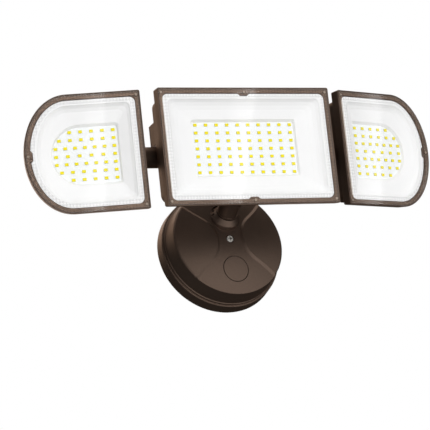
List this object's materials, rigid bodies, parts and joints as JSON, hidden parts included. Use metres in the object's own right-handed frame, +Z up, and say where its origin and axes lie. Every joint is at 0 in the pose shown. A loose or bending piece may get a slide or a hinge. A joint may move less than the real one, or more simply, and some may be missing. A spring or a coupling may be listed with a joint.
{
  "type": "led floodlight",
  "caption": "Outdoor LED floodlight: a wide rectangular head between rounded side heads that tilt and turn, on a short arm from a round domed wall canopy.",
  "frame": {"origin": "centre of the two mounting slots, on the wall plane behind the canopy", "axes": "+X to the right of someone facing the light, +Y into the wall, +Z up"},
  "size_m": [0.4418, 0.1425, 0.188],
  "materials": {
    "bronze_casting": "die-cast aluminium, satin dark bronze powder coat",
    "clear_lens": "clear polycarbonate with a fine waffle pattern round the edge",
    "white_reflector": "matt white moulded reflector",
    "led_board": "white solder mask",
    "led_chip": "yellow phosphor",
    "seal_rubber": "black silicone",
    "lens_seal": "dark brown silicone",
    "circuit_board": "green board with its parts",
    "plated_steel": "zinc-plated steel"
  },
  "bodies": {
    "canopy_body": {"canopy": "bronze_casting", "canopy_gasket": "seal_rubber", "crossbar": "plated_steel", "canopy_screw": "plated_steel", "canopy_plug": "bronze_casting", "arm_lock_ring": "bronze_casting"},
    "arm_body": {"main_arm": "bronze_casting", "arm_nut": "plated_steel"},
    "centre_head": {"centre_housing": "bronze_casting", "centre_led_board": "led_board", "centre_leds": "led_chip", "centre_reflector": "white_reflector", "centre_lens_gasket": "lens_seal", "centre_lens": "clear_lens", "centre_lens_screws": "plated_steel", "knuckle_bolt": "plated_steel", "knuckle_nut": "plated_steel", "driver_board": "circuit_board", "driver_gasket": "seal_rubber", "driver_cover": "bronze_casting", "driver_cover_screws": "plated_steel"},
    "right_arm_body": {"right_arm": "bronze_casting", "right_arm_nut": "plated_steel"},
    "right_head": {"right_housing": "bronze_casting", "right_led_board": "led_board", "right_leds": "led_chip", "right_reflector": "white_reflector", "right_lens_gasket": "lens_seal", "right_lens": "clear_lens", "right_lens_screws": "plated_steel", "right_hinge_bolt": "plated_steel", "right_hinge_nut": "plated_steel"},
    "left_arm_body": {"left_arm": "bronze_casting", "left_arm_nut": "plated_steel"},
    "left_head": {"left_housing": "bronze_casting", "left_led_board": "led_board", "left_leds": "led_chip", "left_reflector": "white_reflector", "left_lens_gasket": "lens_seal", "left_lens": "clear_lens", "left_lens_screws": "plated_steel", "left_hinge_bolt": "plated_steel", "left_hinge_nut": "plated_steel"}
  },
  "joints": [
    {"name": "arm_swivel", "type": "hinge", "parent": "canopy_body", "child": "arm_body", "pos_m": [0, -0.0409, 0.0241], "axis": [0, -0.9511, 0.309], "range_deg": [-90, 90]},
    {"name": "head_tilt", "type": "hinge", "parent": "arm_body", "child": "centre_head", "pos_m": [0, -0.0748, 0.03512], "axis": [1, 0, 0], "range_deg": [-45, 60]},
    {"name": "right_arm_tilt", "type": "hinge", "parent": "centre_head", "child": "right_arm_body", "pos_m": [0.061, -0.08173, 0.07063], "axis": [1, 0, 0], "range_deg": [-80, 80]},
    {"name": "right_head_turn", "type": "hinge", "parent": "right_arm_body", "child": "right_head", "pos_m": [0.112, -0.08173, 0.07063], "axis": [0, -0.2588, 0.9659], "range_deg": [-15, 35]},
    {"name": "left_arm_tilt", "type": "hinge", "parent": "centre_head", "child": "left_arm_body", "pos_m": [-0.061, -0.08173, 0.07063], "axis": [1, 0, 0], "range_deg": [-80, 80]},
    {"name": "left_head_turn", "type": "hinge", "parent": "left_arm_body", "child": "left_head", "pos_m": [-0.112, -0.08173, 0.07063], "axis": [0, -0.2588, 0.9659], "range_deg": [-35, 15]}
  ]
}
